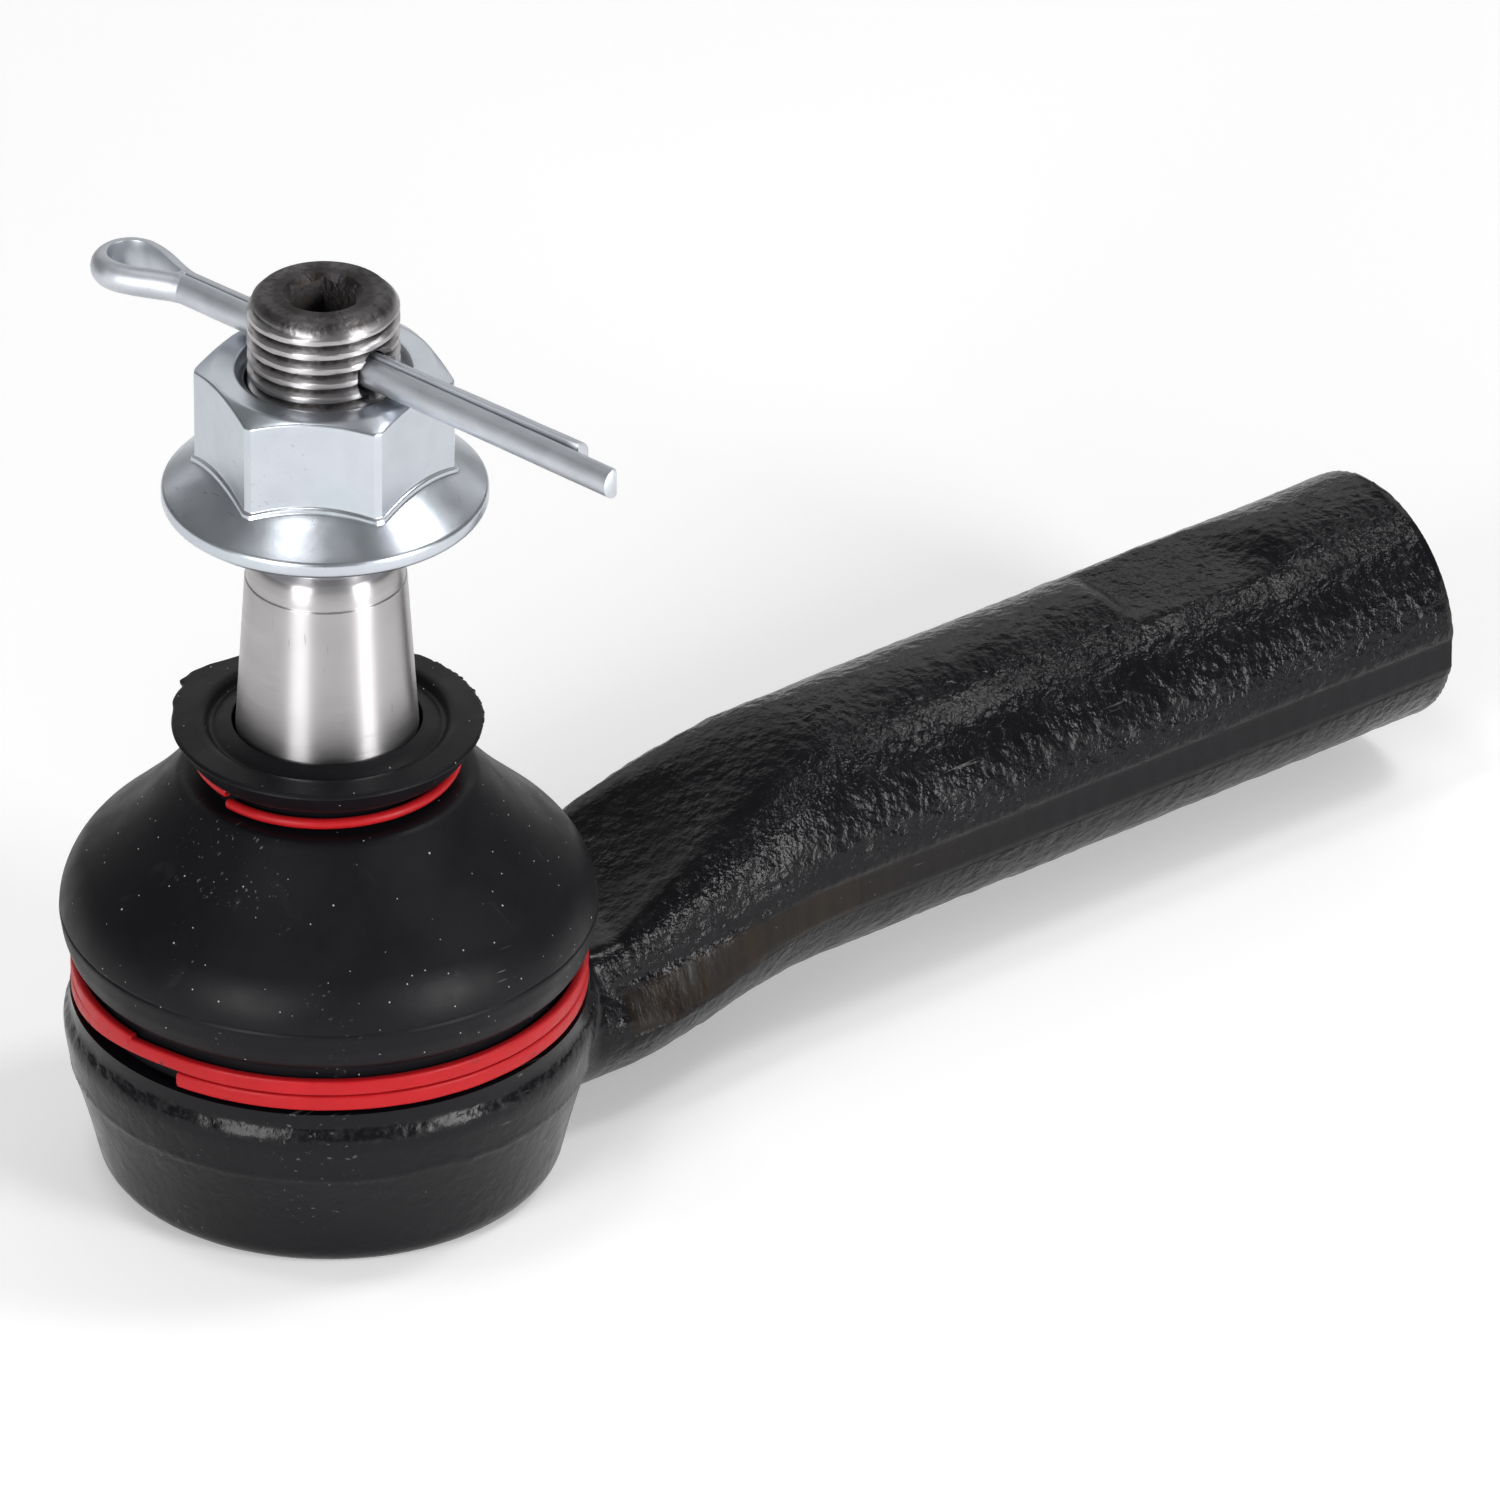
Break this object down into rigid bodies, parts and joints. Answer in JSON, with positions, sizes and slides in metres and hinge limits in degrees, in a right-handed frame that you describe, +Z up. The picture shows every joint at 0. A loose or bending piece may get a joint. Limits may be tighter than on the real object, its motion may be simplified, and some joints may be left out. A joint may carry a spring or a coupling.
{
  "type": "tie rod end",
  "caption": "Outer tie rod end: forged socket with a threaded shank, ball stud in a rubber boot, flange nut and cotter pin.",
  "frame": {"origin": "on the ball stud's axis, in the flat underside of the end cover and socket", "axes": "+Z up along the ball stud at rest, +X out along the shank to its threaded end, +Y across"},
  "size_m": [0.1491, 0.0629, 0.0909],
  "materials": {
    "black_paint": "gloss",
    "machined_steel": "satin",
    "zinc_plate": "satin",
    "dull_zinc": "satin",
    "black_rubber": "satin",
    "red_wire": "satin",
    "seat_plastic": "matte",
    "spring_steel": "satin"
  },
  "bodies": {
    "socket": {"socket_housing": "black_paint", "upper_ball_seat": "seat_plastic", "lower_ball_seat": "seat_plastic", "preload_spring": "spring_steel", "end_cover": "dull_zinc", "boot_lower_ring": "red_wire"},
    "boot": {"dust_boot": "black_rubber"},
    "boot_collar": {"boot_upper_ring": "red_wire"},
    "stud": {"ball_stud": "machined_steel"},
    "nut": {"flange_nut": "zinc_plate"},
    "pin": {"cotter_pin": "dull_zinc"}
  },
  "joints": [
    {"name": "tilt_x", "type": "hinge", "parent": "socket", "child": "boot", "pos_m": [0, 0, 0.016], "axis": [1, 0, 0], "range_deg": [-20, 20], "deforming": ["dust_boot"]},
    {"name": "tilt_y", "type": "hinge", "parent": "boot", "child": "boot_collar", "pos_m": [0, 0, 0.016], "axis": [0, 1, 0], "range_deg": [-20, 20], "deforming": ["dust_boot"]},
    {"name": "stud_spin", "type": "hinge", "parent": "boot_collar", "child": "stud", "pos_m": [0, 0, 0.016], "axis": [0, 0, 1], "continuous": true},
    {"name": "nut_turn", "type": "hinge", "parent": "stud", "child": "nut", "pos_m": [0, 0, 0.0762], "axis": [0, 0, 1], "continuous": true},
    {"name": "cotter_pin_slide", "type": "slide", "parent": "stud", "child": "pin", "axis": [-0.1736, 0.9848, 0], "range_m": [0, 0.044]}
  ]
}
